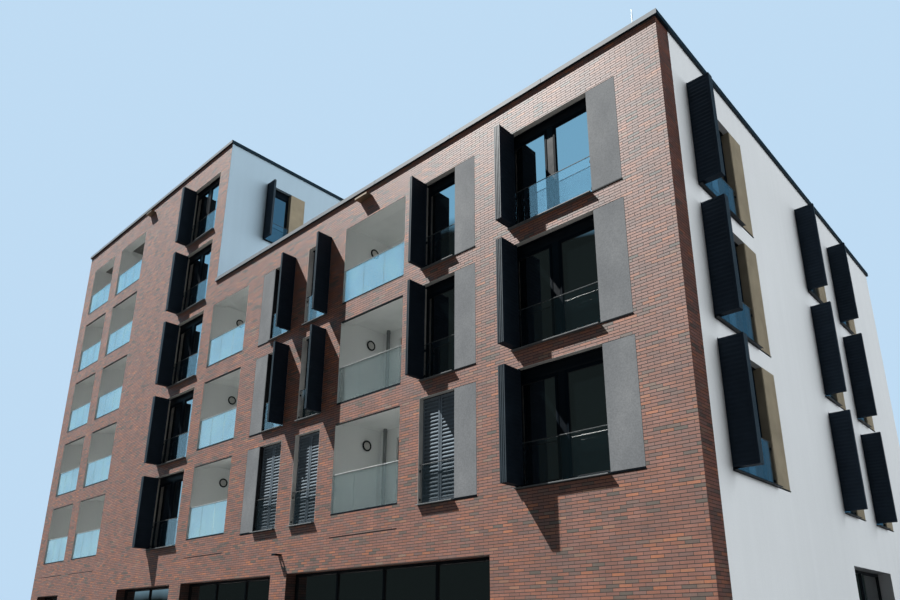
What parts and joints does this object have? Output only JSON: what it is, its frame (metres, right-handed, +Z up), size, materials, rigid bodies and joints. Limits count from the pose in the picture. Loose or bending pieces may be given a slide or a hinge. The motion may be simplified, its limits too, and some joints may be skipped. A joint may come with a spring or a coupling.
{
  "type": "apartment block",
  "caption": "Apartment block with a low and a high part, brick front, white rendered gables, loggias with glass balustrades and folding louvred shutters.",
  "frame": {"origin": "on the ground, in the middle of the plan, at the bottom centre of the box", "axes": "+X along the front to its right end, -Y is the front, +Z up"},
  "size_m": [31.11, 16.06, 19.455],
  "materials": {
    "brick": "mixed red, brown and orange facing brick in long thin courses",
    "render": "fine white render",
    "plaster": "pale smooth plaster",
    "concrete": "cast concrete",
    "roofing": "gravel on roofing felt",
    "dark_frame": "anthracite powder coat",
    "window_glass": "dark reflecting glass",
    "guard_glass": "clear safety glass with a green-blue edge",
    "pale_metal": "satin",
    "grey_panel": "cloudy mid grey fibre cement",
    "khaki_panel": "bronze painted ribbed metal",
    "shutter": "dark blue-grey powder coat",
    "coping": "dark folded metal"
  },
  "bodies": {
    "root": {"balustrade_glass": "guard_glass", "balustrade_rails": "pale_metal", "balustrade_shoes": "dark_frame", "brick_returns": "brick", "downpipes": "pale_metal", "floor_slabs": "concrete", "front_closed_shutters": "shutter", "front_infill_panels": "grey_panel", "front_open_shutters": "shutter", "front_piers": "brick", "front_wall_middle": "brick", "front_wall_right": "brick", "front_wall_tower": "brick", "front_window_frames": "dark_frame", "front_window_glass": "window_glass", "ground_floor_slab": "concrete", "guard_glass": "guard_glass", "guard_rails": "pale_metal", "high_coping": "coping", "high_roof": "roofing", "lamp_bracket": "dark_frame", "left_gable_wall": "render", "loggia_back_walls": "plaster", "loggia_door_frames": "dark_frame", "loggia_door_glass": "window_glass", "loggia_lamps": "dark_frame", "loggia_lintels": "dark_frame", "loggia_side_walls": "plaster", "loggia_spandrels": "brick", "low_coping": "coping", "low_roof": "roofing", "rear_wall_high": "render", "rear_wall_low": "render", "right_gable_wall": "render", "roof_rod": "pale_metal", "roof_spouts": "pale_metal", "shop_frames": "dark_frame", "shop_glass": "window_glass", "shop_piers": "brick", "side_infill_panels": "khaki_panel", "side_open_shutters": "shutter", "side_window_frames": "dark_frame", "side_window_glass": "window_glass", "upper_gable_wall": "render", "window_sills": "pale_metal"}
  },
  "joints": []
}
